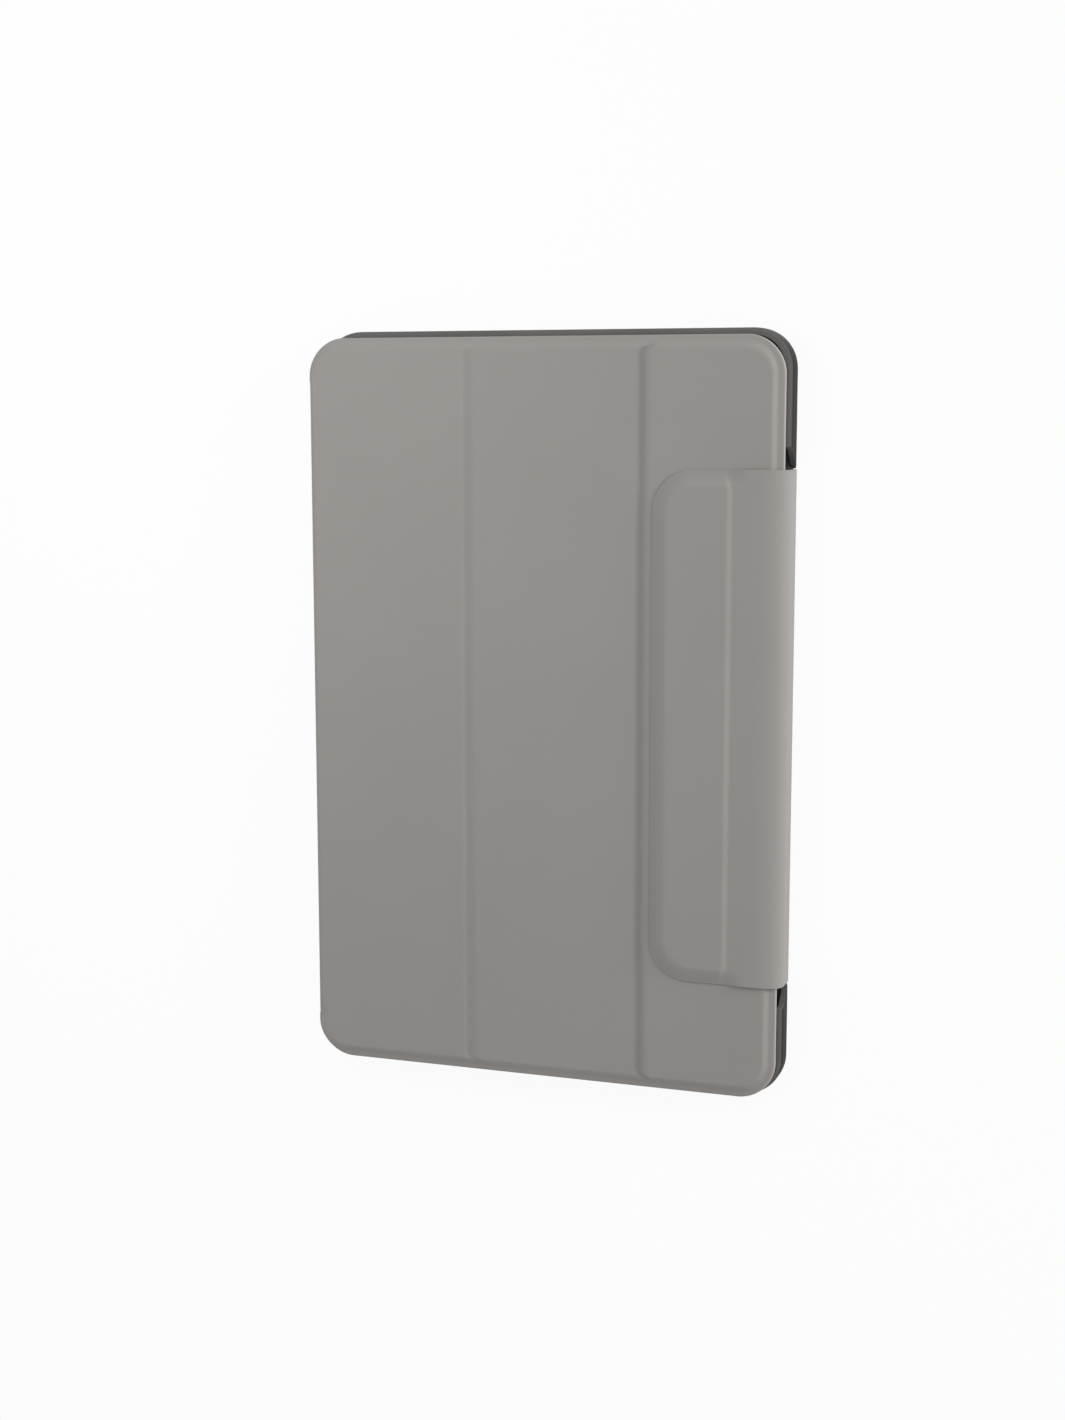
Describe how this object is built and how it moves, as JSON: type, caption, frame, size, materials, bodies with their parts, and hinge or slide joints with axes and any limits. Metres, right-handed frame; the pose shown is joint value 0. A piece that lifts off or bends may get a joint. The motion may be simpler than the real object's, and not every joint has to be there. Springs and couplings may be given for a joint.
{
  "type": "tablet folio case",
  "caption": "Grey leather tablet folio: a dark soft tray on a stiff back, a spine, a folding board cover that makes a stand, and a magnetic side flap.",
  "frame": {"origin": "centre of the closed case's footprint, on the plane of its back", "axes": "+X from the spine to the opening edge, +Y to the tablet's top edge, +Z out of the front cover"},
  "size_m": [0.1704, 0.258, 0.014],
  "materials": {
    "skin": "grey coated leather with a fine grain, matt",
    "lining": "grey microfibre",
    "board": "thin glass-fibre board",
    "tray_rubber": "dark satin thermoplastic rubber",
    "ring_plastic": "black moulded plastic",
    "magnet": "nickel-plated magnet",
    "keeper_steel": "zinc-plated sheet steel"
  },
  "bodies": {
    "tray_back": {"back_skin": "skin", "back_board": "board", "stand_keeper_plate": "keeper_steel", "tray": "tray_rubber", "tray_lining": "lining", "camera_ring": "ring_plastic", "spine_root_hinge": "skin", "flap_root_hinge": "skin"},
    "spine": {"spine_skin": "skin", "spine_board": "board", "spine_lining": "lining", "spine_front_hinge": "skin"},
    "panel_1": {"panel_1_skin": "skin", "panel_1_board": "board", "panel_1_lining": "lining", "fold_1_hinge": "skin"},
    "panel_2": {"panel_2_skin": "skin", "panel_2_board": "board", "panel_2_lining": "lining", "fold_2_hinge": "skin"},
    "panel_3": {"panel_3_skin": "skin", "panel_3_board": "board", "panel_3_lining": "lining", "panel_3_magnets": "magnet"},
    "flap_side": {"flap_side_skin": "skin", "flap_side_lining": "lining", "flap_shoulder_hinge": "skin"},
    "flap_pad": {"flap_pad_skin": "skin", "flap_pad_board": "board", "flap_pad_lining": "lining", "flap_magnets": "magnet"}
  },
  "joints": [
    {"name": "spine_root_fold", "type": "hinge", "parent": "tray_back", "child": "spine", "pos_m": [-0.08457, 0, 0.0006], "axis": [0, -1, 0], "range_deg": [0, 150]},
    {"name": "spine_front_fold", "type": "hinge", "parent": "spine", "child": "panel_1", "pos_m": [-0.08478, 0, 0.01095], "axis": [0, -1, 0], "range_deg": [0, 150]},
    {"name": "cover_fold_1", "type": "hinge", "parent": "panel_1", "child": "panel_2", "pos_m": [-0.02683, 0, 0.01115], "axis": [0, -1, 0], "range_deg": [0, 120]},
    {"name": "cover_fold_2", "type": "hinge", "parent": "panel_2", "child": "panel_3", "pos_m": [0.03537, 0, 0.01115], "axis": [0, -1, 0], "range_deg": [0, 120]},
    {"name": "flap_root_fold", "type": "hinge", "parent": "tray_back", "child": "flap_side", "pos_m": [0.08438, 0, 0.00045], "axis": [0, 1, 0], "range_deg": [0, 90]},
    {"name": "flap_shoulder_fold", "type": "hinge", "parent": "flap_side", "child": "flap_pad", "pos_m": [0.08354, 0, 0.01212], "axis": [0, 1, 0], "range_deg": [0, 90]}
  ],
  "couplings": [
    {"joint": "cover_fold_2", "follows": "cover_fold_1", "ratio": 1}
  ]
}
